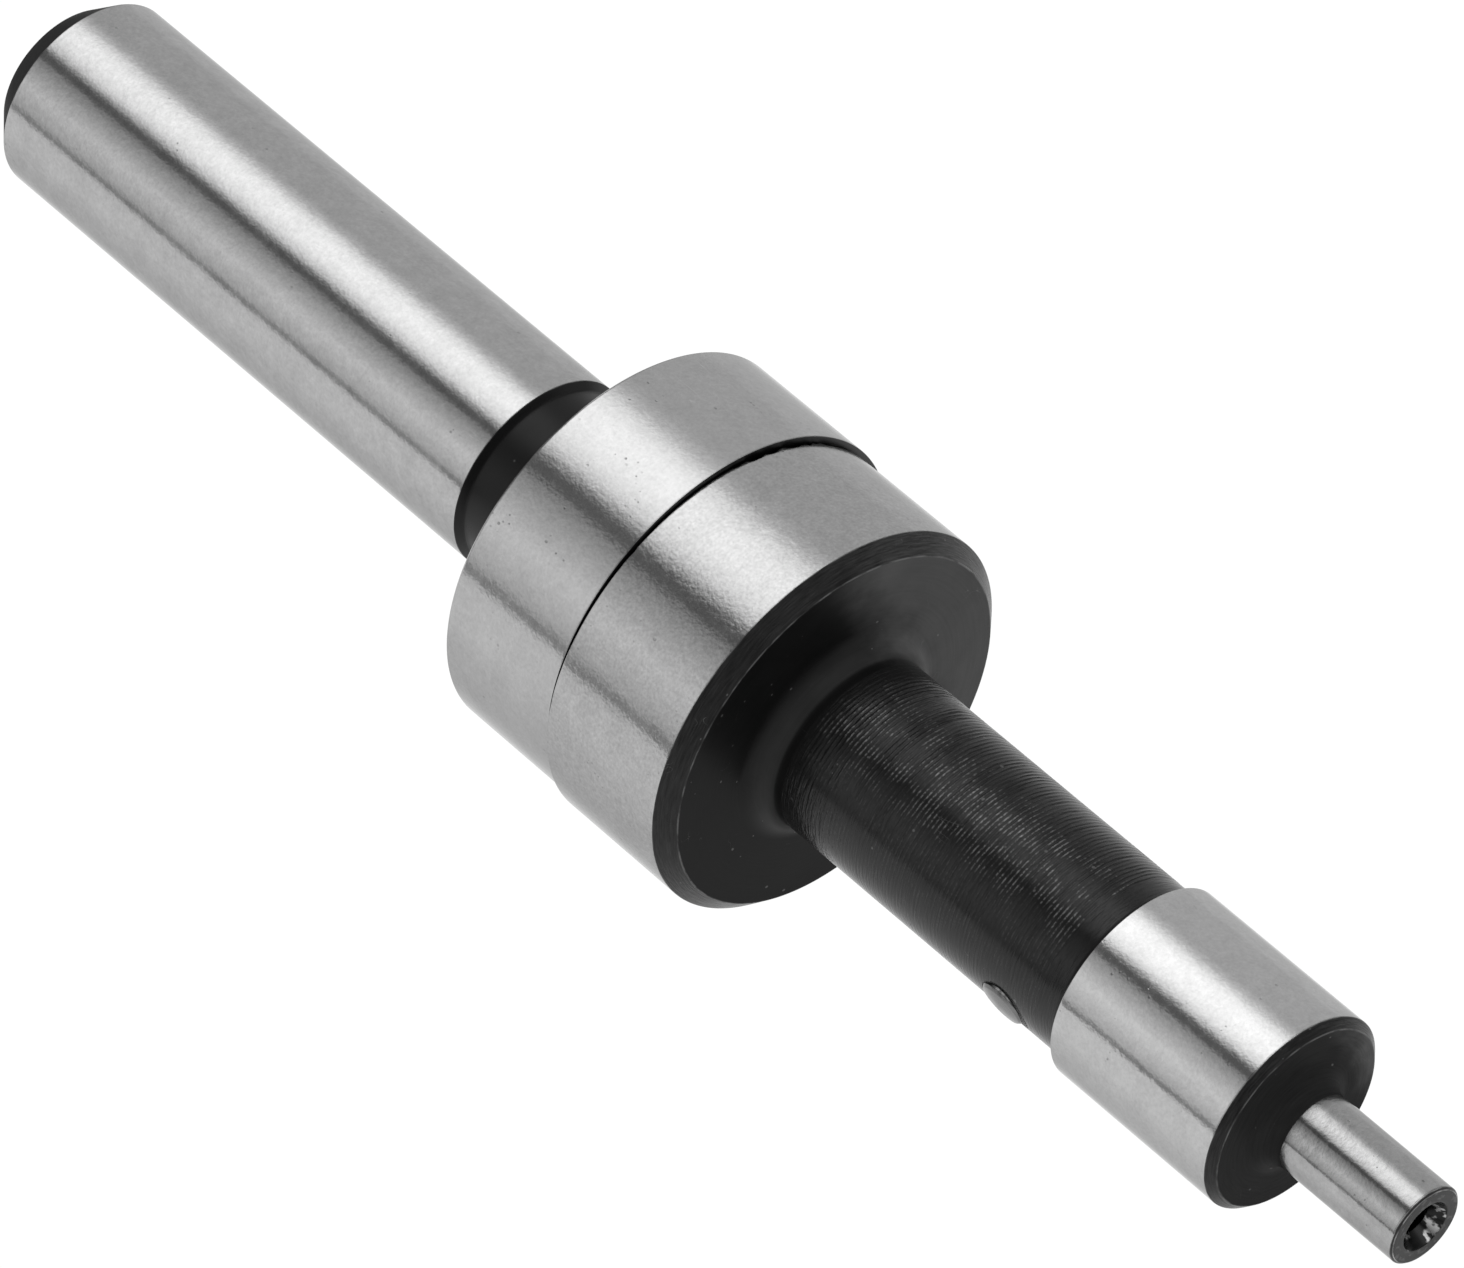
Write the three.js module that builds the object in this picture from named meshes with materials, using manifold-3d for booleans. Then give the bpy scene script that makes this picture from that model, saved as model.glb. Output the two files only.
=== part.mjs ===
// A mechanical edge finder: a spring-loaded centring gauge for a milling machine's spindle.
// The tool lies along +X, from the shank's end face at x = 0 to the end of the small contact.
// +Z is up and every size is in millimetres.
//
// It comes apart into five pieces. The shank body and the probe body meet at two lapped faces on
// the 20 mm head, so one can slide across and turn on the other. A long extension spring runs
// through both. It hooks over an anchor pin that lies on a seat inside the shank's end, and over
// a cross pin through the probe's neck, and it pulls the two lapped faces together.

import * as THREE from "three";
import { mergeVertices } from "three/addons/utils/BufferGeometryUtils.js";
import Module from "manifold-3d";

const wasm = await Module();
wasm.setup();

const ROUND_SEGMENTS = 60; // sides of every turned piece, so its quarter points lie on Y and Z
const PIN_SEGMENTS = 24;
const ARC_STEPS = 5;

// Shank half
const shankRadius = 5;
const shankEndChamfer = { length: 1.5, depth: 1.2 };
const shankGroundEnd = 33.7;
const reliefChamfer = 0.35; // edge between the ground shank and the relief
const headBack = 39; // the relief runs from the ground shank to here
const headBackEdge = 0.15;
const headRadius = 10;
const seam = 46; // the shank half's lapped face
const springBoreRadius = 3.2;
const seatDepth = 3.4; // the anchor pin's seat, measured from the end face
const webThickness = 5; // the web that the seat is on
const webBoreRadius = 2.5;

// Probe half, measured along the same axis
const lappedGap = 0.03; // keeps the two lapped faces from sharing a surface
const headFront = 53.9;
const headFrontChamfer = 0.8;
const neckRadius = 4.5;
const neckRootFillet = 1.25;
const neckEndFillet = 0.4;
const contactBack = 73.3;
const contactLength = 10;
const contactRadius = 5;
const contactChamfer = 0.4;
const tipRadius = 2;
const tipLength = 7.9;
const tipRootFillet = 1.1;
const tipEdge = 0.12;
const centreHole = { mouthRadius: 1.27, angle: 60, pilotRadius: 0.85, pilotLength: 1.6 };
const probeBore = { radius: 3, fullDepthEnd: 72.3, drillAngle: 118 };
const boreMouthChamfer = 0.4;

// Pins and spring
const anchorPinRadius = 1;
const anchorPinLength = 6.1;
const crossPinRadius = 1.2;
const crossPinLength = 9.1;
const crossPinShift = -0.15; // along the pin, so one end stands proud of the neck and one is sunk
const crossPinBehindContact = 3.8; // from the contact's back face to the pin's axis
const crossHoleRadius = 1.4;
const pinEndChamfer = 0.15;
const wireRadius = 0.25;
const coilRadius = 1.75; // to the middle of the wire
const coilTurns = 60;
const hookGap = 0.1; // between a hook and the pin that it pulls on
const hookReach = 0.3; // along the axis, from a hook's ring to the coils
const hookRing = { cutEnd: -60, step: -30, points: 8 }; // degrees round the ring, from its cut end
const springStepsPerTurn = 10;
const wireSides = 6;

// Rest pose: the probe half has slipped down and a little aside, and is turned about its own axis.
const restSlip = new THREE.Vector3(0, -0.13, -0.29);
const probeRoll = THREE.MathUtils.degToRad(18);

const contactFront = contactBack + contactLength;
const tipEnd = contactFront + tipLength;
const anchorPinX = seatDepth - anchorPinRadius;
const crossPinX = contactBack - crossPinBehindContact;
const xAxis = new THREE.Vector3(1, 0, 0);

const groundSteel = new THREE.MeshStandardMaterial({
  color: 0xb8b9ba, roughness: 0.32, metalness: 1,
});
const probeSteel = new THREE.MeshStandardMaterial({
  color: 0x6d6e70, roughness: 0.38, metalness: 1,
});
const pinSteel = new THREE.MeshStandardMaterial({
  color: 0x9a9b9c, roughness: 0.3, metalness: 1,
});
const springSteel = new THREE.MeshStandardMaterial({
  color: 0x77787a, roughness: 0.4, metalness: 1,
});

// Part of a round fillet or edge, as points of x along the tool and radius from its axis.
function arc(centreX, centreR, radius, fromDegrees, toDegrees) {
  return Array.from({ length: ARC_STEPS + 1 }, (_, i) => {
    const a = THREE.MathUtils.degToRad(fromDegrees + ((toDegrees - fromDegrees) * i) / ARC_STEPS);
    return [centreX + radius * Math.cos(a), centreR + radius * Math.sin(a)];
  });
}

// Turns a profile of [x, radius] points about the X axis.
function turned(profile, segments = ROUND_SEGMENTS) {
  const points = profile.map(([x, r]) => new THREE.Vector2(r, x));
  return new THREE.LatheGeometry(points, segments).rotateZ(-Math.PI / 2);
}

// A plain pin with chamfered ends, centred on the origin and lying along Y.
function pinGeometry(radius, length, edge) {
  const half = length / 2;
  const profile = [
    [-half, 0], [-half, radius - edge], [-half + edge, radius],
    [half - edge, radius], [half, radius - edge], [half, 0],
  ];
  return turned(profile, PIN_SEGMENTS).rotateZ(Math.PI / 2);
}

function toSolid(geometry) {
  const bare = geometry.clone();
  bare.deleteAttribute("normal");
  bare.deleteAttribute("uv");
  const merged = mergeVertices(bare, 1e-4);
  return new wasm.Manifold(new wasm.Mesh({
    numProp: 3,
    vertProperties: merged.attributes.position.array,
    triVerts: new Uint32Array(merged.index.array),
  }));
}

function toGeometry(solid) {
  const mesh = solid.getMesh();
  const geometry = new THREE.BufferGeometry();
  geometry.setAttribute("position", new THREE.BufferAttribute(mesh.vertProperties, 3));
  geometry.setIndex(new THREE.BufferAttribute(mesh.triVerts, 1));
  geometry.computeVertexNormals();
  return geometry;
}

function namedMesh(name, geometry, material) {
  const mesh = new THREE.Mesh(geometry, material);
  mesh.name = name;
  return mesh;
}

// Shank, relief and upper half of the head in one turned piece, bored right through.
function shankBody() {
  const webEnd = seatDepth + webThickness;
  const profile = [
    [0, springBoreRadius],
    [0, shankRadius - shankEndChamfer.depth],
    [shankEndChamfer.length, shankRadius],
    [shankGroundEnd, shankRadius],
    [shankGroundEnd + reliefChamfer, shankRadius - reliefChamfer],
    [headBack, shankRadius - reliefChamfer],
    [headBack, headRadius - headBackEdge],
    [headBack + headBackEdge, headRadius],
    [seam, headRadius],
    [seam, springBoreRadius + boreMouthChamfer],
    [seam - boreMouthChamfer, springBoreRadius],
    [webEnd, springBoreRadius],
    [webEnd, webBoreRadius],
    [seatDepth, webBoreRadius],
    [seatDepth, springBoreRadius],
    [0, springBoreRadius],
  ];
  return namedMesh("shank_body", turned(profile), groundSteel);
}

// Lower half of the head, neck, 10 mm contact and 4 mm tip in one turned piece. A blind bore
// holds the spring, and a cross hole through the neck holds its pin.
function probeBody() {
  const back = seam + lappedGap;
  const drillPoint = probeBore.radius / Math.tan(THREE.MathUtils.degToRad(probeBore.drillAngle / 2));
  const coneDepth =
    (centreHole.mouthRadius - centreHole.pilotRadius) /
    Math.tan(THREE.MathUtils.degToRad(centreHole.angle / 2));
  const pilotEnd = tipEnd - coneDepth - centreHole.pilotLength;
  const neckRootR = neckRadius + neckRootFillet;
  const profile = [
    [probeBore.fullDepthEnd + drillPoint, 0],
    [probeBore.fullDepthEnd, probeBore.radius],
    [back + boreMouthChamfer, probeBore.radius],
    [back, probeBore.radius + boreMouthChamfer],
    [back, headRadius],
    [headFront - headFrontChamfer, headRadius],
    [headFront, headRadius - headFrontChamfer],
    ...arc(headFront + neckRootFillet, neckRootR, neckRootFillet, 180, 270),
    ...arc(contactBack - neckEndFillet, neckRadius + neckEndFillet, neckEndFillet, 270, 360),
    [contactBack, contactRadius],
    [contactFront - contactChamfer, contactRadius],
    [contactFront, contactRadius - contactChamfer],
    ...arc(contactFront + tipRootFillet, tipRadius + tipRootFillet, tipRootFillet, 180, 270),
    [tipEnd - tipEdge, tipRadius],
    [tipEnd, tipRadius - tipEdge],
    [tipEnd, centreHole.mouthRadius],
    [tipEnd - coneDepth, centreHole.pilotRadius],
    [pilotEnd, centreHole.pilotRadius],
    [pilotEnd, 0],
  ];
  const crossHole = turned(
    [[-headRadius, 0], [-headRadius, crossHoleRadius], [headRadius, crossHoleRadius], [headRadius, 0]],
    PIN_SEGMENTS,
  ).rotateZ(Math.PI / 2).translate(crossPinX, 0, 0);
  const drilled = toSolid(turned(profile)).subtract(toSolid(crossHole));
  return namedMesh("probe_body", toGeometry(drilled), probeSteel);
}

function anchorPin() {
  const pin = pinGeometry(anchorPinRadius, anchorPinLength, pinEndChamfer);
  const mesh = namedMesh("anchor_pin", pin, pinSteel);
  mesh.position.set(anchorPinX, 0, 0);
  mesh.rotation.x = probeRoll;
  return mesh;
}

function crossPin() {
  const pin = pinGeometry(crossPinRadius, crossPinLength, pinEndChamfer);
  const mesh = namedMesh("cross_pin", pin, pinSteel);
  mesh.position.set(crossPinX, crossPinShift, 0);
  return mesh;
}

// Centre line of the spring's wire. Each end is a hook ring that lies square to its pin and is
// open towards the coils. The second end is the first one turned half round about Z, and the
// whole line leans to follow the probe half's rest position.
function springLine() {
  const ringReach = coilRadius - wireRadius - hookGap;
  const firstRingX = anchorPinX + ringReach - anchorPinRadius;
  const lastRingX = crossPinX - ringReach + crossPinRadius;
  const coilStart = firstRingX + coilRadius + hookReach;
  const coilEnd = lastRingX - coilRadius - hookReach;
  const hook = Array.from({ length: hookRing.points }, (_, i) => {
    const a = THREE.MathUtils.degToRad(hookRing.cutEnd + i * hookRing.step);
    return new THREE.Vector3(
      firstRingX + coilRadius * Math.cos(a), 0, coilRadius * Math.sin(a),
    );
  });
  hook.push(new THREE.Vector3(coilStart - coilRadius / 2, 0, coilRadius));
  const otherHook = hook
    .map((p) => new THREE.Vector3(firstRingX + lastRingX - p.x, -p.y, p.z))
    .reverse();
  const stepCount = coilTurns * springStepsPerTurn;
  const coils = Array.from({ length: stepCount - 1 }, (_, i) => {
    const turn = ((i + 1) * 2 * Math.PI) / springStepsPerTurn;
    const x = THREE.MathUtils.lerp(coilStart, coilEnd, (i + 1) / stepCount);
    return new THREE.Vector3(x, -coilRadius * Math.sin(turn), coilRadius * Math.cos(turn));
  });
  const points = [...hook, ...coils, ...otherHook];
  for (const p of points) {
    p.applyAxisAngle(xAxis, probeRoll);
    p.addScaledVector(restSlip, (p.x - anchorPinX) / (crossPinX - anchorPinX));
  }
  const line = new THREE.CatmullRomCurve3(points, false, "centripetal");
  line.arcLengthDivisions = 10 * points.length;
  return line;
}

function tensionSpring() {
  const section = new THREE.Shape(
    Array.from({ length: wireSides }, (_, i) => {
      const a = (2 * Math.PI * i) / wireSides;
      return new THREE.Vector2(wireRadius * Math.cos(a), wireRadius * Math.sin(a));
    }),
  );
  const line = springLine();
  const geometry = new THREE.ExtrudeGeometry(section, {
    steps: line.points.length, extrudePath: line, bevelEnabled: false,
  });
  return namedMesh("tension_spring", geometry, springSteel);
}

const tool = new THREE.Group();
const probeHalf = new THREE.Group();
probeHalf.position.copy(restSlip);
probeHalf.rotation.x = probeRoll;
probeHalf.add(probeBody(), crossPin());
tool.add(shankBody(), anchorPin(), tensionSpring(), probeHalf);

export default tool;
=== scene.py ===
"""The looks of a mechanical edge finder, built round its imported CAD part.

The tool lies along +X. Its shank half stays put. Its probe half hangs a little low on the lapped
faces of the head, and a long spring between two pins pulls the halves together. Both halves are
turned pieces: ground bright on the working diameters, and left blackened everywhere else.

Lengths are in millimetres, along the tool's axis and from it, unless a comment says metres. They
become metres where a mesh is made.
"""

import math
import random

import bpy
from mathutils import Matrix, Vector, noise


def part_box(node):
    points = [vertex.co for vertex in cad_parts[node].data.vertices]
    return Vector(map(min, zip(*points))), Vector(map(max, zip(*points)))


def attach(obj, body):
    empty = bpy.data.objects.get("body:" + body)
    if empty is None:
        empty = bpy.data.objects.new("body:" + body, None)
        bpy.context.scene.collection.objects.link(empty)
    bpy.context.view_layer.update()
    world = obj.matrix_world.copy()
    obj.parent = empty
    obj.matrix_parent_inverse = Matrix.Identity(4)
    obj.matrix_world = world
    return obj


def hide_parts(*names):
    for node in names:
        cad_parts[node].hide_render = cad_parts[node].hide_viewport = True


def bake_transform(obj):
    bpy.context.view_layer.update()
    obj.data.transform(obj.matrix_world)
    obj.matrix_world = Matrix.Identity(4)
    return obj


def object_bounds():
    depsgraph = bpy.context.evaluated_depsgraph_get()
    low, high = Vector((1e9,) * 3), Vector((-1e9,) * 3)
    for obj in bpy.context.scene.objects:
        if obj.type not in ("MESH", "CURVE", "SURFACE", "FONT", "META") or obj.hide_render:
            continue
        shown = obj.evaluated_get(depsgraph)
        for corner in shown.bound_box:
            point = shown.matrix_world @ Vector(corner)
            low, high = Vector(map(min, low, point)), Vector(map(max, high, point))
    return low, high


MM = 0.001
TURN = 2 * math.pi

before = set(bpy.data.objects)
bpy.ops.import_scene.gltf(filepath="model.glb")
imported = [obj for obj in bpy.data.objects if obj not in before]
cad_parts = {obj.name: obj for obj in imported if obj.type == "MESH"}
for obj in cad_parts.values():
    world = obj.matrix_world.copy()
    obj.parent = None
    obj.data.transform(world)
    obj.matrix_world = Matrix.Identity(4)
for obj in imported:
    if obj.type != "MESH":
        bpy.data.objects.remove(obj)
cad_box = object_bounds()

# Where the CAD puts things, in millimetres
shank_low, shank_high = (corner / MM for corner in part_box("shank_body"))
probe_low, probe_high = (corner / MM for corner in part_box("probe_body"))
anchor_centre = sum(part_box("anchor_pin"), Vector()) / 2 / MM
cross_centre = sum(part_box("cross_pin"), Vector()) / 2 / MM

SHANK_END = shank_low.x
SEAM = shank_high.x
PROBE_BACK = probe_low.x
TIP_END = probe_high.x
HEAD_RADIUS = (shank_high.z - shank_low.z) / 2
PROBE_AXIS = (probe_low + probe_high) / 2
PROBE_ROLL = math.radians(18)  # the probe half's turn about its own axis

# Shank half
SHANK_RADIUS = 5.0
END_CHAMFER = (1.5, 1.2)  # along the axis, and across it
GROUND_SHANK_END = SEAM - 12.3
RELIEF_DEPTH = 0.35
HEAD_BACK = SEAM - 7.0
HEAD_BACK_EDGE = 0.15
RELIEF_FILLET = 0.3
RELIEF_SWEEP = 0.11  # soft corner between the relief's chamfer and its floor
SPRING_BORE = 3.2
SPRING_BORE_EDGE = 0.15  # at the shank's end
SEAT = (3.4, 8.4)  # the anchor pin's seat, and the far side of its web
WEB_BORE = 2.5
BORE_MOUTH = 0.4

# Probe half
HEAD_FRONT = SEAM + 7.9
HEAD_CHAMFER = 0.8
NECK_RADIUS = 4.5
NECK_ROOT = 1.25
NECK_FILLET = 0.4
CONTACT = (SEAM + 27.3, SEAM + 37.3)
CONTACT_CHAMFER = 0.4
TIP_RADIUS = 2.0
TIP_ROOT = 1.1
TIP_EDGE = 0.12
CENTRE_HOLE = {"mouth": 1.27, "pilot": 0.85, "cone": 0.727, "pilot_length": 1.6}
PROBE_BORE = {"radius": 3.0, "end": SEAM + 26.3, "point": 1.803}

# Turned rings that the lathe tool left on the neck
RING_PITCH = 0.23
RING_DEPTH = 0.022
RING_UNEVEN = (0.55, 1.0)  # least and most of that depth
RING_STEPS = 4
RING_DRIFT = 0.03  # how far a ring strays along the axis
RINGS_GROW = 5  # the first rings that grow to the full depth
SMOOTH_BAND = 1.3  # plain stretch between the rings and the contact
SMOOTH_SIDE = Vector((-0.974, -0.228))  # the probe half's own Y and Z where its rings are faint
SMOOTH_RISE = (0.1, 0.5)  # cosine of the angle from that side where this begins and is full
SMOOTH_SHARE = 0.8  # how much of their depth the rings lose there

# The head's lapped corner is chipped along one side, and just broken elsewhere
CHIP_DEPTH = 0.24
CHIP_WIDTH = 0.3
CHIP_LIMITS = (0.1, 0.9)  # least and most of that depth
CHIP_START = 4.0  # along the probe half's own Y, where the chips begin

# Pins and spring
ANCHOR_PIN = {"radius": 1.0, "length": 6.1}
CROSS_PIN = {"radius": 1.2, "length": 9.1}
CROSS_HOLE_RADIUS = 1.4
CROSS_HOLE_SHIFT = 0.17  # the spring draws the pin to the back of its hole
PIN_DOME = 0.12
PIN_EDGE = 0.12
PIN_SEGMENTS = 64
DRILL_SEGMENTS = 48
DOME_STEPS = 8
WIRE_RADIUS = 0.25
WIRE_CREASE = 40  # degrees
COIL_RADIUS = 1.75
COIL_TURNS = 60
COIL_STEPS = 10
HOOK_GAP = 0.1
HOOK_REACH = 0.3
HOOK_ANGLES = range(-60, -271, -30)  # degrees round a hook's ring, from its cut end
SPRING_SPLIT = 62.0  # the spring leans before this point and stretches after it

# Sides picked out with painted light, as Y and Z of the way that side faces
PAINTED_LIGHT_SIDE = (0.935, 0.355)  # painted light: the oxide is made lighter grey towards this side, for the brighter light it catches
PAINTED_GLINT_SIDE = (-0.257, 0.966)  # painted highlight: the neck's ring crests are worn bare mostly on this top side, where the overhead light glints

BODY_SEGMENTS = 224
EDGE_ROUND = 0.06  # the small round on a corner that doesn't state its own
SEAM_ROUND = 0.06  # the lapped corners are left nearly sharp
GENTLE_TURN = math.radians(24)  # an outline's corner that turns less than this is left alone
ARC_TURN = math.radians(15)  # turn between two rows of a rounded corner


# ---------------------------------------------------------------- shapes


def arc(centre, radius, from_degrees, to_degrees, steps=8):
    """Points of a round stretch of an outline, as (x, distance from the axis)."""
    found = []
    for i in range(steps + 1):
        a = math.radians(from_degrees + (to_degrees - from_degrees) * i / steps)
        found.append((centre[0] + radius * math.cos(a), centre[1] + radius * math.sin(a)))
    return found


def rounded(outline):
    """The outline with each sharp corner made a small arc. A row is (x, r, finish, wear), where
    finish is that of the stretch after it. Wear is the corner's own on its arc, or 1 where it
    states none, and 0 from a short way off. A corner with a radius of 0 stays as it is."""
    rows = []
    closed = outline[0][:2] == outline[-1][:2]
    for i, (x, r, finish, *own) in enumerate(outline):
        radius = own[0] if own else EDGE_ROUND
        worn = own[1] if len(own) > 1 else 1.0
        at_end = i in (0, len(outline) - 1)
        if at_end and not closed or r == 0:
            rows.append((x, r, finish, 0.0))
            continue
        if radius == 0:
            rows.append((x, r, finish, worn))
            continue
        before = outline[i - 1] if i > 0 else outline[-2]
        after = outline[i + 1] if i < len(outline) - 1 else outline[1]
        here = Vector((x, r))
        back = Vector(before[:2]) - here
        ahead = Vector(after[:2]) - here
        turn = math.pi - back.angle(ahead)
        if turn < GENTLE_TURN:
            rows.append((x, r, finish, 0.0))
            continue
        reach = min(radius * math.tan(turn / 2), 0.4 * back.length, 0.4 * ahead.length)
        start = here + back.normalized() * reach
        end = here + ahead.normalized() * reach
        guard = min(2 * reach, 0.3 * back.length), min(2 * reach, 0.3 * ahead.length)
        steps = max(2, round(turn / ARC_TURN))
        rows.append((*(start + back.normalized() * guard[0]), before[2], 0.0))
        for k in range(steps + 1):
            t = k / steps
            point = start * (1 - t) ** 2 + here * 2 * t * (1 - t) + end * t**2
            rows.append((*point, before[2] if t < 0.5 else finish, worn))
        rows.append((*(end + ahead.normalized() * guard[1]), finish, 0.0))
    return rows


def turned(name, outline, finishes, segments=BODY_SEGMENTS, wobble=None):
    """A piece turned about X. The outline is a list of (x, r, finish), finish being the name of
    the material from that point to the next. A point may add its corner's own radius, and then
    its own wear. An outline that ends on its first point makes a ring. wobble moves each point
    of the mesh."""
    rows = rounded(outline)
    names = list(finishes)
    verts, wear, rings = [], [], []
    for x, r, _, worn in rows:
        if r < 1e-6:
            rings.append([len(verts)])
            verts.append((x, 0.0, 0.0))
            wear.append(worn)
            continue
        ring = []
        for k in range(segments):
            a = TURN * k / segments
            point = Vector((x, -r * math.sin(a), r * math.cos(a)))
            if wobble:
                point = wobble(point)
            ring.append(len(verts))
            verts.append(point)
            wear.append(worn)
        rings.append(ring)
    closed = outline[0][:2] == outline[-1][:2]
    pairs = list(zip(range(len(rings)), range(1, len(rings))))
    if closed:
        pairs.append((len(rings) - 1, 0))
    faces, kinds = [], []
    for i, j in pairs:
        a, b = rings[i], rings[j]
        if len(a) == 1 and len(b) == 1:
            continue
        for k in range(segments):
            corner = (k + 1) % segments
            if len(a) == 1:
                face = (a[0], b[k], b[corner])
            elif len(b) == 1:
                face = (a[k], b[0], a[corner])
            else:
                face = (a[k], b[k], b[corner], a[corner])
            faces.append(face)
            kinds.append(names.index(rows[i][2]))
    mesh = bpy.data.meshes.new(name)
    mesh.from_pydata([Vector(v) * MM for v in verts], [], faces)
    for finish in names:
        mesh.materials.append(finishes[finish])
    mesh.polygons.foreach_set("material_index", kinds)
    mesh.attributes.new("wear", "FLOAT", "POINT").data.foreach_set("value", wear)
    return smooth_object(name, mesh)


def smooth_object(name, mesh, crease_degrees=28):
    """A shown object of that mesh, shaded smooth except across real corners."""
    mesh.validate()
    mesh.shade_smooth()
    mesh.set_sharp_from_angle(angle=math.radians(crease_degrees))
    made = bpy.data.objects.new(name, mesh)
    bpy.context.scene.collection.objects.link(made)
    return made


def place_on_probe_axis(piece):
    """Turns a piece made about X to the probe half's roll, and moves it to that half's axis."""
    piece.data.transform(Matrix.Rotation(PROBE_ROLL, 4, "X"))
    piece.location = Vector((0, PROBE_AXIS.y, PROBE_AXIS.z)) * MM
    return piece


def cut(piece, cutter):
    """Takes cutter's solid away from piece."""
    modifier = piece.modifiers.new("cut", "BOOLEAN")
    modifier.operation = "DIFFERENCE"
    modifier.solver = "MANIFOLD"
    modifier.object = cutter
    graph = bpy.context.evaluated_depsgraph_get()
    mesh = bpy.data.meshes.new_from_object(piece.evaluated_get(graph))
    piece.modifiers.clear()
    piece.data = mesh
    bpy.data.objects.remove(cutter)


# ---------------------------------------------------------------- node trees


def feed(tree, socket, value):
    """Links socket to value where that is a socket too, and sets it otherwise."""
    if isinstance(value, bpy.types.NodeSocket):
        tree.links.new(value, socket)
    else:
        socket.default_value = value


def join(tree, node, **inputs):
    """Links or sets the node's inputs. An underscore stands for a space in a socket's name."""
    for key, value in inputs.items():
        feed(tree, node.inputs[key.replace("_", " ")], value)


def add(tree, kind, settings=None, **inputs):
    """A new node with those settings and inputs."""
    made = tree.nodes.new("ShaderNode" + kind)
    for key, value in (settings or {}).items():
        setattr(made, key, value)
    join(tree, made, **inputs)
    return made


def maths(tree, operation, *values):
    """The output of a Math node."""
    made = tree.nodes.new("ShaderNodeMath")
    made.operation = operation
    for socket, value in zip(made.inputs, values):
        feed(tree, socket, value)
    return made.outputs[0]


def product(tree, first, *others):
    """All those values multiplied."""
    for other in others:
        first = maths(tree, "MULTIPLY", first, other)
    return first


def remap(tree, value, low, high, to_low=0.0, to_high=1.0):
    """value from low to high taken smoothly to the range to_low to to_high, and held beyond."""
    return add(
        tree, "MapRange", {"interpolation_type": "SMOOTHSTEP"}, Value=value,
        From_Min=low, From_Max=high, To_Min=to_low, To_Max=to_high,
    ).outputs["Result"]


def mix(tree, factor, a, b):
    """The colour a where factor is 0 and b where it is 1."""
    made = tree.nodes.new("ShaderNodeMix")
    made.data_type = "RGBA"
    for socket, value in ((0, factor), (6, a), (7, b)):  # the Mix node's colour sockets
        feed(tree, made.inputs[socket], value)
    return made.outputs[2]


def grey(level):
    """A grey of that level, as a constant."""
    return (level, level, level, 1.0)


def neutral(tree, value):
    """A grey whose level is a socket."""
    return add(tree, "CombineColor", Red=value, Green=value, Blue=value).outputs[0]


def vector_maths(tree, operation, vector, other=None):
    """A Vector Math node. other is a constant."""
    made = add(tree, "VectorMath", {"operation": operation}, Vector=vector)
    if other:
        made.inputs[1].default_value = other
    return made


def from_axis(tree, where):
    """Distance from the axis that the piece is turned about."""
    across = vector_maths(tree, "MULTIPLY", where, (0, 1, 1))
    return vector_maths(tree, "LENGTH", across.outputs[0]).outputs["Value"]


def towards(tree, where, side):
    """How far out the surface is on one side of the axis, which is given as its Y and Z."""
    return vector_maths(tree, "DOT_PRODUCT", where, (0, *side)).outputs["Value"]


def on_turned_surface(tree):
    """Coordinates in millimetres for a piece turned about its own X. The first runs along any
    turned outline, up a cylinder or in over a front face, so noise drawn out in the others gives
    rings."""
    place = add(tree, "TexCoord").outputs["Object"]
    millimetres = add(
        tree, "VectorMath", {"operation": "SCALE"}, Vector=place, Scale=1 / MM
    ).outputs[0]
    parts = add(tree, "SeparateXYZ", Vector=millimetres).outputs
    along = maths(tree, "SUBTRACT", parts["X"], from_axis(tree, millimetres))
    return add(tree, "CombineXYZ", X=along, Y=parts["Y"], Z=parts["Z"]).outputs[0]


def spots(tree, where, along, around, detail=2.0, shift=0.0):
    """Noise from 0 to 1 with spots about that many millimetres long and wide. Two patterns with
    different shifts aren't alike."""
    scaled = add(
        tree, "Mapping", Vector=where, Location=(shift, 0, 0),
        Scale=(1 / along, 1 / around, 1 / around),
    )
    return add(
        tree, "TexNoise", Vector=scaled.outputs[0], Scale=1.0, Detail=detail
    ).outputs["Fac"]


def pits(tree, where, spacing, size, share):
    """1 in small round pits and 0 elsewhere. Only that share of the cells holds one, and none is
    larger than size."""
    scaled = add(tree, "Mapping", Vector=where, Scale=(1 / spacing,) * 3)
    cells = add(tree, "TexVoronoi", Vector=scaled.outputs[0], Scale=1.0)
    drawn = add(tree, "SeparateColor", Color=cells.outputs["Color"])
    largest = size / spacing
    reach = maths(tree, "MULTIPLY_ADD", drawn.outputs[1], 0.7 * largest, 0.3 * largest)
    close = maths(tree, "DIVIDE", cells.outputs["Distance"], reach)
    dot = remap(tree, close, 0.5, 1.0, 1.0, 0.0)
    return maths(tree, "MULTIPLY", dot, maths(tree, "LESS_THAN", drawn.outputs[0], share))


def scratches(tree, where, width, share, turn, shift):
    """1 on nearly straight fine scratches and 0 elsewhere. They lie along one slant, in patches
    that grow with share."""
    slanted = add(
        tree, "Mapping", Vector=where, Location=(shift, shift, 0), Rotation=(0.3, turn, turn),
        Scale=(1 / 9.0, 1 / 0.9, 1 / 0.9),
    )
    field = add(tree, "TexNoise", Vector=slanted.outputs[0], Scale=1.0, Detail=1.0).outputs["Fac"]
    off_line = maths(tree, "ABSOLUTE", maths(tree, "SUBTRACT", field, 0.5))
    line = remap(tree, off_line, 0.0, width, 1.0, 0.0)
    patch = spots(tree, where, 1.7, 1.7, detail=1.0, shift=shift + 7)
    return maths(tree, "MULTIPLY", line, remap(tree, patch, 1 - share, 1.08 - share))


def bump(tree, height, depth, before=None):
    """Raises the surface by height times depth millimetres."""
    made = add(tree, "Bump", Height=height, Distance=depth * MM, Strength=1.0)
    if before:
        tree.links.new(before, made.inputs["Normal"])
    return made.outputs["Normal"]


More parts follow.
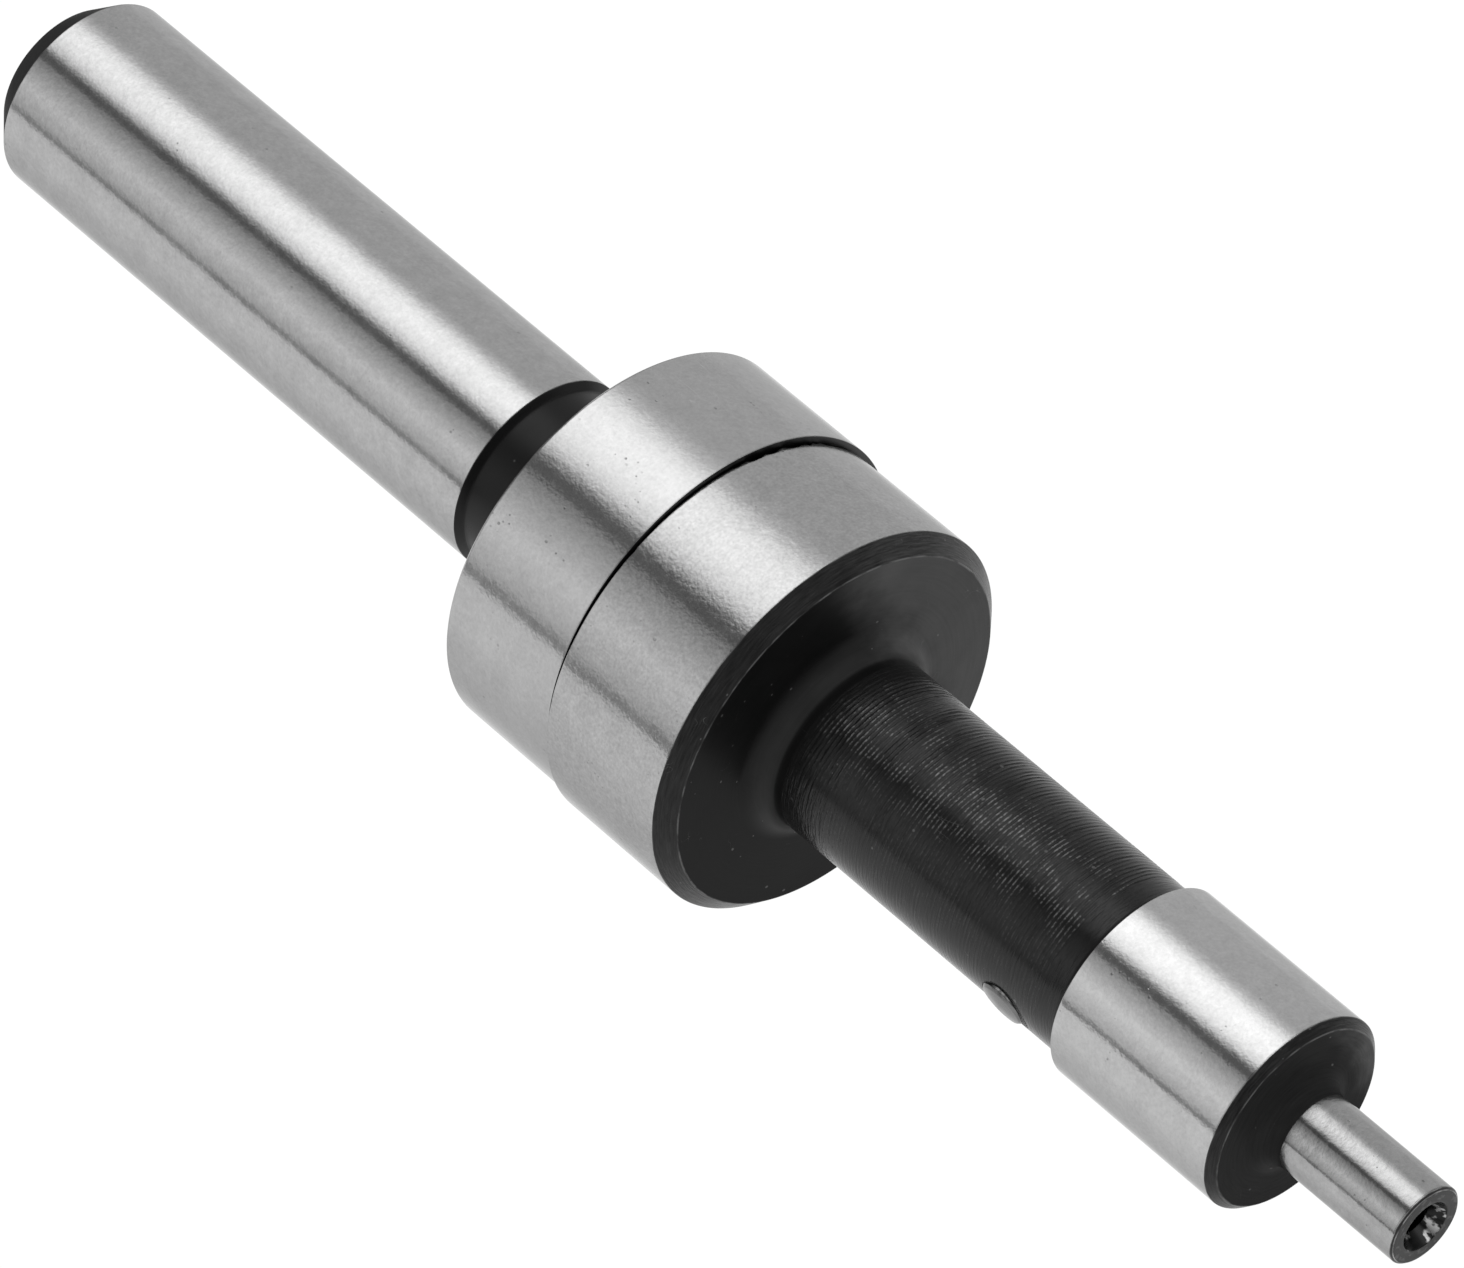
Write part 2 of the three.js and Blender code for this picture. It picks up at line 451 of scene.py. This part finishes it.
def varied(tree, *layers):
    """1 plus each (noise, strength) layer's swing about its middle."""
    tone = 1.0
    for noise_value, strength in layers:
        swing = maths(tree, "SUBTRACT", noise_value, 0.5)
        tone = maths(tree, "MULTIPLY_ADD", swing, strength, tone)
    return tone


def shader(name):
    """A new material, its tree, and the tree's Principled node."""
    material = bpy.data.materials.new(name)
    material.use_nodes = True
    tree = material.node_tree
    return material, tree, tree.nodes["Principled BSDF"]


def grain_tangent(tree, surface):
    """Stretches the gloss across the rings that turning or grinding leaves."""
    tangent = add(tree, "Tangent", {"direction_type": "RADIAL", "axis": "X"})
    join(
        tree, surface, Tangent=tangent.outputs[0], Anisotropic=0.5, Anisotropic_Rotation=0.25,
    )


# ---------------------------------------------------------------- materials

PIT_GREY = 0.10
SCRATCH_GREY = 0.72
BARE_AND_GLINT_GREY = 0.55  # metal where the oxide is worn off, also used for the painted glints on the neck's ring crests
ROOT_HIGHLIGHT = (NECK_RADIUS + 0.04, NECK_RADIUS + 0.05, 5.9)  # painted highlight round the neck's root: full by, fades from, and gone at


def ground_steel(name, level, roughness, grain, cloud, pit_share, fleck=0.24):
    """Cylindrically ground steel with pits in loose clusters and a few light scratches. level is
    its grey, and grain the depth in millimetres of its satin grain. cloud and fleck are how far
    the grey swings in patches and from speck to speck, and pit_share is how densely a cluster is
    pitted."""
    material, tree, surface = shader(name)
    where = on_turned_surface(tree)
    clouds = spots(tree, where, 1.3, 1.5, detail=4.0)
    haze = spots(tree, where, 0.34, 0.34, detail=3.0, shift=47.0)
    speckle = spots(tree, where, 0.14, 0.16)
    waves = spots(tree, where, 2.4, 3.4, detail=1.0, shift=5.0)
    tone = varied(tree, (clouds, cloud), (haze, cloud), (speckle, fleck))
    steel = neutral(tree, maths(tree, "MULTIPLY", tone, level))
    cluster = remap(tree, spots(tree, where, 2.2, 1.6, shift=31.0), 0.56, 0.70)
    pitted = maths(tree, "MULTIPLY", pits(tree, where, 0.26, 0.09, pit_share), cluster)
    lines = scratches(tree, where, width=0.004, share=0.36, turn=0.9, shift=11.0)
    colour = mix(tree, maths(tree, "MULTIPLY", pitted, 0.5), steel, grey(PIT_GREY))
    colour = mix(tree, maths(tree, "MULTIPLY", lines, 0.3), colour, grey(SCRATCH_GREY))
    normal = bump(tree, waves, 0.010)
    normal = bump(tree, haze, grain, normal)
    normal = bump(tree, speckle, 0.6 * grain, normal)
    normal = bump(tree, pitted, -0.008, normal)
    join(
        tree, surface, Base_Color=colour, Metallic=1.0, Specular_Tint=grey(0.78),
        Roughness=maths(tree, "MULTIPLY", varied(tree, (clouds, 0.5)), roughness), Normal=normal,
    )
    grain_tangent(tree, surface)
    return material


def painted_root_highlight(tree, where):
    """Painted highlight: 1 in the fillet round the neck's root, fading to 0 over the head's face.
    """
    full, fades, gone = ROOT_HIGHLIGHT
    reach = from_axis(tree, where)
    inside = remap(tree, reach, NECK_RADIUS, full)
    return maths(tree, "MULTIPLY", inside, remap(tree, reach, fades, gone, 1.0, 0.0))


def worn_corners(tree, where, worn):
    """How bare the corners are, raggedly."""
    ragged = remap(
        tree, spots(tree, where, 0.4, 0.8, detail=3.0, shift=17.0), 0.38, 0.64, 0.12, 1.0
    )
    return maths(tree, "MULTIPLY", remap(tree, worn, 0.3, 1.0), ragged)


def worn_crests_and_painted_glints(tree, where):
    """How far the crests of the neck's rings are worn bare: short dashes, in patches. As a painted
    highlight, they are kept mostly to the top, where the overhead light glints on the rings."""
    dash = remap(tree, spots(tree, where, 0.12, 0.13, shift=23.0), 0.38, 0.66, 0.12, 1.0)
    patch = remap(
        tree, spots(tree, where, 1.5, 0.8, detail=3.0, shift=61.0), 0.42, 0.60, 0.08, 1.0
    )
    # Painted highlight: the bare crests are kept to the top side, where the rings catch the
    # overhead light.
    painted_glint_side = remap(tree, towards(tree, where, PAINTED_GLINT_SIDE), 3.9, 4.38, 0.13, 1.0)
    return product(tree, dash, patch, painted_glint_side)


def oxide(
    name, darkness, shine, roughness, marks,
    streaks=0.25, dashes=0.0, edge_wear=0.2, haze=0.0, root=0.0,
):
    """Turned steel under black oxide. darkness is the oxide's own grey, and shine scales its
    gloss. marks is the length round the tool and the depth of the lathe's marks, in millimetres,
    and streaks is how far they vary the grey. dashes is how much of the oxide is worn off the
    rings' crests, kept mostly to the top as a painted highlight, and edge_wear how much is worn
    off
    the corners. haze is painted light: how much lighter the oxide is made towards one side, for
    the light that side catches. root is a painted highlight: how much lighter grey the fillet at
    the neck's root is made."""
    material, tree, surface = shader(name)
    where = on_turned_surface(tree)
    clouds = spots(tree, where, 1.6, 1.8, detail=3.0)
    lines = spots(tree, where, 0.10, marks[0])
    waves = spots(tree, where, 1.6, 2.4, shift=9.0)

    # Painted light: the oxide grows lighter towards one side, standing in for the light it catches
    # there, with random clouds in the tone.
    painted_side_light_and_clouds = maths(tree, "MULTIPLY_ADD", clouds, 2.0, towards(tree, where, PAINTED_LIGHT_SIDE))
    level = remap(tree, painted_side_light_and_clouds, 3.6, 7.2, darkness, darkness + haze)
    # Painted highlight: the fillet at the neck's root is made lighter grey.
    if root:
        level = maths(tree, "MULTIPLY_ADD", painted_root_highlight(tree, where), root, level)
    tone = varied(tree, (clouds, 0.5), (lines, streaks))
    black = neutral(tree, maths(tree, "MULTIPLY", tone, level))

    worn = add(tree, "Attribute", {"attribute_name": "wear"}).outputs["Fac"]
    bare = product(tree, worn_corners(tree, where, worn), edge_wear)
    # The crests' wear, kept to the top as a painted highlight.
    crests = product(tree, worn_crests_and_painted_glints(tree, where), maths(tree, "MULTIPLY", worn, dashes))
    nicked = product(tree, pits(tree, where, 0.5, 0.12, 0.10), 0.16)
    scored = product(tree, scratches(tree, where, 0.003, 0.36, turn=0.7, shift=3.0), 0.16)
    for other in (crests, nicked, scored):
        bare = maths(tree, "MAXIMUM", bare, other)

    normal = bump(tree, waves, 0.006)
    normal = bump(tree, lines, marks[1], normal)
    join(
        tree, surface, Base_Color=mix(tree, bare, black, grey(BARE_AND_GLINT_GREY)), Metallic=bare, IOR=1.4,
        Specular_IOR_Level=0.5 * shine, Normal=normal,
        Roughness=maths(tree, "MULTIPLY", varied(tree, (clouds, 0.6)), roughness),
    )
    return material


def machined_steel(name, level, roughness, marks_depth, mark_size=0.12, patches=0.0):
    """Machined steel of an inside or end surface, with the rings that the tool left. patches is
    how far scattered bright spots stand out."""
    material, tree, surface = shader(name)
    where = on_turned_surface(tree)
    marks = spots(tree, where, mark_size, 4.0)
    clouds = spots(tree, where, 0.9, 1.2, detail=3.0)
    lit = maths(tree, "MULTIPLY", varied(tree, (clouds, 0.5), (marks, 0.5)), level)
    bright = remap(tree, spots(tree, where, 0.36, 0.36, shift=41.0), 0.55, 0.66, 0.0, patches)
    join(
        tree, surface, Base_Color=neutral(tree, maths(tree, "ADD", lit, bright)), Metallic=1.0,
        Roughness=maths(tree, "MULTIPLY", varied(tree, (clouds, 0.6)), roughness),
        Normal=bump(tree, marks, marks_depth),
    )
    grain_tangent(tree, surface)
    return material


def make_materials():
    """Every finish by the name that the outlines call it."""
    ground = {
        # level, roughness, grain, cloud, pit_share, fleck
        "ground": ("ground_steel", 0.44, 0.17, 0.005, 0.28, 0.25),
        "head": ("ground_steel_head", 0.44, 0.165, 0.006, 0.22, 0.5),
        "head_lower": ("ground_steel_lower", 0.41, 0.165, 0.0075, 0.26, 0.5, 0.5),
        "contact": ("ground_steel_contact", 0.48, 0.14, 0.0055, 0.22, 0.3),
        "tip": ("ground_steel_tip", 0.39, 0.15, 0.0055, 0.30, 0.3),
    }
    machined = {
        # level, roughness, marks_depth, mark_size, patches
        # painted shade: the lapped faces are made dark for the shade in the narrow seam between
        # the halves; bare lapped steel would be bright
        "lapped": ("lapped_steel_painted_shade", 0.05, 0.32, 0.001),
        "bored": ("bored_steel", 0.10, 0.42, 0.006, 0.2),
        "faced": ("faced_steel", 0.04, 0.34, 0.006, 0.12, 0.05),
        "drilled": ("centre_drilled_steel", 0.022, 0.24, 0.02, 0.3, 0.38),
        "pin": ("pin_steel", 0.19, 0.26, 0.002),
        "wire": ("spring_wire", 0.34, 0.30, 0.003, 0.3),
    }
    # haze below is painted light on one side of the oxide, and root a painted highlight on the
    # neck's root fillet.
    blackened = {
        "black": oxide("black_oxide", 0.008, 0.6, 0.32, (4.0, 0.003)),
        "black_face": oxide(
            "black_oxide_face", 0.008, 0.16, 0.34, (4.0, 0.003), haze=0.078, root=0.024
        ),
        "black_bevel": oxide(
            "black_oxide_bevel", 0.017, 0.5, 0.3, (0.9, 0.03), streaks=2.6, haze=0.018
        ),
        "black_dull": oxide(
            "black_oxide_dull", 0.024, 0.05, 0.44, (1.4, 0.006), streaks=0.6, haze=0.15
        ),
        "black_matt": oxide("black_oxide_matt", 0.017, 0.04, 0.5, (2.0, 0.004), haze=0.01),
        "black_rim": oxide(
            "black_oxide_rim", 0.03, 0.6, 0.3, (0.6, 0.01), streaks=0.6, edge_wear=0.7
        ),
        # dashes: bare ring crests kept to the top as a painted highlight.
        "neck": oxide(
            "black_oxide_neck", 0.011, 0.8, 0.21, (0.9, 0.02),
            streaks=0.6, dashes=0.45, edge_wear=0.0,
        ),
    }
    return {
        **{finish: ground_steel(*values) for finish, values in ground.items()},
        **blackened,
        **{finish: machined_steel(*values) for finish, values in machined.items()},
    }


# ---------------------------------------------------------------- pieces


def stretch(finish, points):
    """Outline points that all have one finish."""
    return [(x, r, finish) for x, r in points]


def shank_half(finishes):
    """Shank, relief and the upper half of the head."""
    relief = SHANK_RADIUS - RELIEF_DEPTH
    relief_end = (HEAD_BACK - RELIEF_FILLET, relief + RELIEF_FILLET)
    outline = [
        (SHANK_END, SPRING_BORE + SPRING_BORE_EDGE, "black_matt"),
        (SHANK_END, SHANK_RADIUS - END_CHAMFER[1], "black_matt"),
        (SHANK_END + END_CHAMFER[0], SHANK_RADIUS, "ground"),
        (GROUND_SHANK_END, SHANK_RADIUS, "black"),
        (GROUND_SHANK_END + RELIEF_DEPTH, relief, "black", RELIEF_SWEEP, 0.0),
        *stretch("black", arc(relief_end, RELIEF_FILLET, 270, 360, 5)),
        (HEAD_BACK, HEAD_RADIUS - HEAD_BACK_EDGE, "head"),
        (HEAD_BACK + HEAD_BACK_EDGE, HEAD_RADIUS, "head"),
        (SEAM, HEAD_RADIUS, "lapped", SEAM_ROUND),
        (SEAM, SPRING_BORE + BORE_MOUTH, "bored"),
        (SEAM - BORE_MOUTH, SPRING_BORE, "bored"),
        (SEAT[1], SPRING_BORE, "bored"),
        (SEAT[1], WEB_BORE, "bored"),
        (SEAT[0], WEB_BORE, "bored"),
        (SEAT[0], SPRING_BORE, "bored"),
        (SHANK_END + SPRING_BORE_EDGE, SPRING_BORE, "black_matt"),
        (SHANK_END, SPRING_BORE + SPRING_BORE_EDGE, "black_matt"),
    ]
    made = turned("shank_half_turned", outline, finishes)
    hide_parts("shank_body")
    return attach(made, "shank_half")


def neck_rings():
    """The neck's outline: fine scallops of a steady pitch and slightly uneven depth. Their crests
    carry the wear."""
    start = HEAD_FRONT + NECK_ROOT + RING_PITCH
    end = CONTACT[0] - SMOOTH_BAND
    draw = random.Random(4)
    count = int((end - start) / RING_PITCH)
    points = []
    for ring in range(count):
        grown = min(1.0, (ring + 1) / RINGS_GROW)
        depth = RING_DEPTH * draw.uniform(*RING_UNEVEN) * grown
        for step in range(RING_STEPS):
            t = step / RING_STEPS
            dip = depth * (1 - (2 * t - 1) ** 2)
            crest = grown if step == 0 and ring else 0.0
            points.append((start + (ring + t) * RING_PITCH, NECK_RADIUS - dip, "neck", 0, crest))
    return points


def uneven(point):
    """Shifts the neck's rings a little along the axis and smooths them on one side, and chips the
    head's lapped corner."""
    if HEAD_FRONT + NECK_ROOT < point.x < CONTACT[0] - SMOOTH_BAND:
        drift = noise.noise(Vector((point.x * 0.7, point.y * 0.9, point.z * 0.9)))
        radius = point.yz.length
        side = point.yz.dot(SMOOTH_SIDE) / radius
        facing = (side - SMOOTH_RISE[0]) / (SMOOTH_RISE[1] - SMOOTH_RISE[0])
        worn_down = SMOOTH_SHARE * min(max(facing, 0.0), 1.0)
        grown = 1 + worn_down * (NECK_RADIUS - radius) / radius
        return Vector((point.x + RING_DRIFT * drift, point.y * grown, point.z * grown))
    from_face = 1 - (point.x - PROBE_BACK) / CHIP_WIDTH
    from_rim = 1 - (HEAD_RADIUS - point.yz.length) / CHIP_WIDTH
    near_corner = min(from_face, from_rim)
    if near_corner <= 0:
        return point
    ragged = noise.noise(point * 0.8) + 1.3 * noise.noise(point * 2.3)
    bite = 0.65 + ragged if point.y > CHIP_START else 0.35 * ragged - 0.15
    bite = min(max(bite, CHIP_LIMITS[0]), CHIP_LIMITS[1])
    return point + Vector((CHIP_DEPTH * bite * near_corner, 0, 0))


def drill_cross_hole(piece, finishes):
    """Drills the cross pin's hole through the neck, before the piece gets its roll."""
    drill = turned(
        "cross_drill",
        [
            (-HEAD_RADIUS, 0.0, "bored"),
            (-HEAD_RADIUS, CROSS_HOLE_RADIUS, "bored"),
            (HEAD_RADIUS, CROSS_HOLE_RADIUS, "bored"),
            (HEAD_RADIUS, 0.0, "bored"),
        ],
        finishes,
        DRILL_SEGMENTS,
    )
    across = Matrix.Rotation(math.pi / 2, 4, "Z")
    drill_x = cross_centre.x + CROSS_HOLE_SHIFT
    drill.matrix_world = Matrix.Translation((drill_x * MM, 0, 0)) @ across
    cut(piece, drill)


def probe_half(finishes):
    """Lower half of the head, neck, contact and tip."""
    neck_root = (HEAD_FRONT + NECK_ROOT, NECK_RADIUS + NECK_ROOT)
    neck_end = (CONTACT[0] - NECK_FILLET, NECK_RADIUS + NECK_FILLET)
    tip_root = (CONTACT[1] + TIP_ROOT, TIP_RADIUS + TIP_ROOT)
    bore = PROBE_BORE
    hole = CENTRE_HOLE
    pilot_end = TIP_END - hole["cone"] - hole["pilot_length"]
    outline = [
        (bore["end"] + bore["point"], 0.0, "bored"),
        (bore["end"], bore["radius"], "bored"),
        (PROBE_BACK + BORE_MOUTH, bore["radius"], "bored"),
        (PROBE_BACK, bore["radius"] + BORE_MOUTH, "lapped"),
        (PROBE_BACK, HEAD_RADIUS - CHIP_WIDTH, "lapped"),
        (PROBE_BACK, HEAD_RADIUS, "head_lower", SEAM_ROUND),
        (PROBE_BACK + CHIP_WIDTH, HEAD_RADIUS, "head_lower"),
        (HEAD_FRONT - HEAD_CHAMFER, HEAD_RADIUS, "black_bevel"),
        (HEAD_FRONT, HEAD_RADIUS - HEAD_CHAMFER, "black_face"),
        *stretch("black_face", arc(neck_root, NECK_ROOT, 180, 270, 12)),
        *neck_rings(),
        *stretch("black", arc(neck_end, NECK_FILLET, 270, 360, 6)),
        (CONTACT[0], SHANK_RADIUS, "contact"),
        (CONTACT[1] - CONTACT_CHAMFER, SHANK_RADIUS, "black_bevel"),
        (CONTACT[1], SHANK_RADIUS - CONTACT_CHAMFER, "black_dull"),
        *stretch("black_dull", arc(tip_root, TIP_ROOT, 180, 270, 12)[:-1]),
        (CONTACT[1] + TIP_ROOT, TIP_RADIUS, "tip"),
        (TIP_END - TIP_EDGE, TIP_RADIUS, "black_rim"),
        (TIP_END, TIP_RADIUS - TIP_EDGE, "faced"),
        (TIP_END, hole["mouth"], "drilled"),
        (TIP_END - hole["cone"], hole["pilot"], "drilled"),
        (pilot_end, hole["pilot"], "drilled"),
        (pilot_end, 0.0, "drilled"),
    ]
    made = turned("probe_half_turned", outline, finishes, wobble=uneven)
    drill_cross_hole(made, finishes)
    place_on_probe_axis(made)
    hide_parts("probe_body")
    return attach(made, "probe_half")


def pin(name, finishes, centre, radius, length):
    """A ground pin lying across the tool, with slightly domed ends."""
    half = length / 2
    dome = []
    for k in range(DOME_STEPS + 1):
        t = k / DOME_STEPS
        dome.append((half - PIN_DOME * t**2, (radius - PIN_EDGE) * k / DOME_STEPS))
    side = half - PIN_DOME - PIN_EDGE
    outline = stretch("pin", [(-x, r) for x, r in dome] + [(-side, radius), (side, radius)])
    outline += stretch("pin", dome[::-1])
    made = turned(name, outline, finishes, PIN_SEGMENTS)
    made.matrix_world = (
        Matrix.Translation(centre * MM)
        @ Matrix.Rotation(PROBE_ROLL, 4, "X")
        @ Matrix.Rotation(math.pi / 2, 4, "Z")
    )
    return made


def spring_line():
    """The middle of the spring's wire: a hook round the anchor pin, the coils, and a hook round
    the cross pin. It leans from one half's axis to the other's."""
    reach = COIL_RADIUS - WIRE_RADIUS - HOOK_GAP
    first = anchor_centre.x + reach - ANCHOR_PIN["radius"]
    last = cross_centre.x - reach + CROSS_PIN["radius"]
    start = first + COIL_RADIUS + HOOK_REACH
    end = last - COIL_RADIUS - HOOK_REACH
    hook = []
    for degrees in HOOK_ANGLES:
        a = math.radians(degrees)
        hook.append(Vector((first + COIL_RADIUS * math.cos(a), 0, COIL_RADIUS * math.sin(a))))
    hook.append(Vector((start - COIL_RADIUS / 2, 0, COIL_RADIUS)))
    other = [Vector((first + last - p.x, -p.y, p.z)) for p in reversed(hook)]
    steps = COIL_TURNS * COIL_STEPS
    coils = []
    for i in range(1, steps):
        a = TURN * i / COIL_STEPS
        x = start + (end - start) * i / steps
        coils.append(Vector((x, -COIL_RADIUS * math.sin(a), COIL_RADIUS * math.cos(a))))
    roll = Matrix.Rotation(PROBE_ROLL, 3, "X")
    run = Vector((cross_centre.x - anchor_centre.x, PROBE_AXIS.y, PROBE_AXIS.z))
    line = []
    for p in hook + coils + other:
        lean = (p.x - anchor_centre.x) / run.x
        line.append(roll @ p + Vector((0, run.y, run.z)) * lean)
    return line


def wire(name, points, finishes):
    """A round wire through those points."""
    curve = bpy.data.curves.new(name, "CURVE")
    curve.dimensions = "3D"
    curve.bevel_depth = WIRE_RADIUS * MM
    curve.bevel_resolution = 3
    curve.resolution_u = 4
    curve.use_fill_caps = True
    spline = curve.splines.new("BEZIER")
    spline.bezier_points.add(len(points) - 1)
    for knot, point in zip(spline.bezier_points, points):
        knot.co = point * MM
        knot.handle_left_type = knot.handle_right_type = "AUTO"
    holder = bpy.data.objects.new(name + "_line", curve)
    bpy.context.scene.collection.objects.link(holder)
    graph = bpy.context.evaluated_depsgraph_get()
    mesh = bpy.data.meshes.new_from_object(holder.evaluated_get(graph))
    bpy.data.objects.remove(holder)
    mesh.materials.clear()
    mesh.materials.append(finishes["wire"])
    made = smooth_object(name, mesh, WIRE_CREASE)
    return made


def pins_and_spring(finishes):
    """The two pins, and the spring in two lengths, because it moves with three bodies."""
    cross = pin("cross_pin_ground", finishes, cross_centre, **CROSS_PIN)
    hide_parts("cross_pin")
    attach(cross, "probe_half")
    anchor = pin("anchor_pin_ground", finishes, anchor_centre, **ANCHOR_PIN)
    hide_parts("anchor_pin")
    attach(anchor, "spring_anchor")
    line = spring_line()
    split = next(i for i, p in enumerate(line) if p.x > SPRING_SPLIT)
    upper = wire("spring_upper", line[: split + 1], finishes)
    lower = wire("spring_lower", line[split:], finishes)
    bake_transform(upper)
    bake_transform(lower)
    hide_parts("tension_spring")
    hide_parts("tension_spring")


# ---------------------------------------------------------------- studio

# Light round the tool: degrees from straight up towards the camera's side, and brightness there.
# A broad soft box overhead, a dark gap beside it, a dimmer box in front, and a grey back wall.
STUDIO = [
    (-180, 0.9), (-100, 0.9), (-92, 0.72), (-40, 0.70), (-31, 0.98), (-24, 1.62), (-15, 2.05),
    (-4, 2.1), (7, 1.86), (15, 1.42), (21, 0.54), (24, 0.16), (31, 0.16), (34, 0.44),
    (48, 0.80), (64, 1.18), (80, 0.92), (90, 0.74), (92, 0.28), (99, 0.28), (101, 1.0), (180, 1.0),
]
BOX_PERIOD = 0.5  # the boxes' spacing in a row along the tool, in the sine of the angle
BOX_EDGE = (-0.5, 0.3)  # the rise from a gap to a box, in the cosine of the row's wave
BOX_GAP = 0.3  # brightness between two boxes, against that of a box
END_WALL = 0.3  # the dark walls past the tool's two ends
END_WALL_RISE = (0.72, 0.92)  # where they begin and are full, in that same sine

# The floor, in metres
FLOOR_DROP = 0.6
FLOOR_RADIUS = 6.0
FLOOR_SIDES = 96
FLOOR_POOL = (-0.374, 0.369)  # middle of the floor's brightest patch
POOL_EDGE = (0.15, 0.45)  # the patch fades between these distances from its middle
POOL_LIGHT = 0.21
FLOOR_FALL = (-1.0, -0.1)  # Y where the floor begins to dim, well in front, and has dimmed
FLOOR_BACK_LIGHT = 0.82  # its light from there on back, against 1 in front

# The camera looks down the tool from in front of its tip, in degrees, metres and millimetres
AZIMUTH, ELEVATION = 48.71, 47.48
AIM = (0.04675, 0.0001, 0.0)
DISTANCE = 0.4525
FOCAL_LENGTH, SENSOR_WIDTH = 251.5, 36


def light_studio():
    """A world that is lit by direction only: the soft boxes and walls of the studio."""
    world = bpy.data.worlds.new("studio")
    bpy.context.scene.world = world
    world.use_nodes = True
    tree = world.node_tree
    tree.nodes.clear()
    direction = add(tree, "TexCoord").outputs["Generated"]
    parts = add(tree, "SeparateXYZ", Vector=direction)
    forward = maths(tree, "MULTIPLY", parts.outputs["Y"], -1.0)
    angle = maths(tree, "ARCTAN2", forward, parts.outputs["Z"])
    place = maths(tree, "MULTIPLY_ADD", angle, 1 / TURN, 0.5)
    ramp = add(tree, "ValToRGB", Fac=place)
    top = max(level for _, level in STUDIO)
    stops = ramp.color_ramp.elements
    for degrees, level in STUDIO[1:-1]:
        stops.new(degrees / 360 + 0.5).color = grey(level / top)
    stops[0].position, stops[0].color = 0.0, grey(STUDIO[0][1] / top)
    stops[-1].position, stops[-1].color = 1.0, grey(STUDIO[-1][1] / top)
    wave = maths(tree, "COSINE", maths(tree, "MULTIPLY", parts.outputs["X"], TURN / BOX_PERIOD))
    boxes = remap(tree, wave, *BOX_EDGE, BOX_GAP, 1.0)
    row = add(
        tree, "VectorMath", {"operation": "SCALE"}, Vector=ramp.outputs["Color"], Scale=boxes
    )
    end_on = remap(tree, maths(tree, "ABSOLUTE", parts.outputs["X"]), *END_WALL_RISE)
    colour = mix(tree, end_on, row.outputs[0], grey(END_WALL / top))
    glow = add(tree, "Background", Color=colour, Strength=top)
    output = add(tree, "OutputWorld")
    tree.links.new(glow.outputs[0], output.inputs["Surface"])


def floor():
    """A plain pale floor, lit from inside like a light table. It doesn't show from below."""
    mesh = bpy.data.meshes.new("floor")
    rim = []
    for i in range(FLOOR_SIDES):
        a = TURN * i / FLOOR_SIDES
        rim.append((FLOOR_RADIUS * math.cos(a), FLOOR_RADIUS * math.sin(a), 0))
    mesh.from_pydata(rim, [], [range(FLOOR_SIDES)])
    made = bpy.data.objects.new("floor", mesh)
    centre = sum(cad_box, Vector()) / 2
    made.location = (centre.x, centre.y, cad_box[0].z - FLOOR_DROP)
    bpy.context.scene.collection.objects.link(made)
    material = bpy.data.materials.new("pale_floor")
    material.use_nodes = True
    tree = material.node_tree
    tree.nodes.clear()
    place = add(tree, "NewGeometry").outputs["Position"]
    offset = vector_maths(tree, "DISTANCE", place, (*FLOOR_POOL, made.location.z))
    pool = remap(tree, offset.outputs["Value"], *POOL_EDGE, POOL_LIGHT, 0.0)
    front = add(tree, "SeparateXYZ", Vector=place).outputs["Y"]
    lit = maths(tree, "ADD", pool, remap(tree, front, *FLOOR_FALL, 1.0, FLOOR_BACK_LIGHT))
    glow = add(tree, "Emission", Color=grey(1.0), Strength=lit)
    clear = add(tree, "BsdfTransparent")
    side = add(tree, "NewGeometry").outputs["Backfacing"]
    shown = add(tree, "MixShader", Fac=side)
    tree.links.new(glow.outputs[0], shown.inputs[1])
    tree.links.new(clear.outputs[0], shown.inputs[2])
    output = add(tree, "OutputMaterial")
    tree.links.new(shown.outputs[0], output.inputs["Surface"])
    mesh.materials.append(material)


def camera():
    """The main camera, with a long lens."""
    azimuth, elevation = math.radians(AZIMUTH), math.radians(ELEVATION)
    back = Vector((
        math.sin(azimuth) * math.cos(elevation),
        -math.cos(azimuth) * math.cos(elevation),
        math.sin(elevation),
    ))
    lens = bpy.data.cameras.new("camera")
    lens.lens = FOCAL_LENGTH
    lens.sensor_width = SENSOR_WIDTH
    made = bpy.data.objects.new("camera", lens)
    made.location = Vector(AIM) + back * DISTANCE
    made.rotation_mode = "QUATERNION"
    made.rotation_quaternion = (-back).to_track_quat("-Z", "Y")
    bpy.context.scene.collection.objects.link(made)
    bpy.context.scene.camera = made


finishes = make_materials()
shank_half(finishes)
probe_half(finishes)
pins_and_spring(finishes)
light_studio()
floor()
camera()
bpy.context.scene.view_settings.view_transform = "Standard"
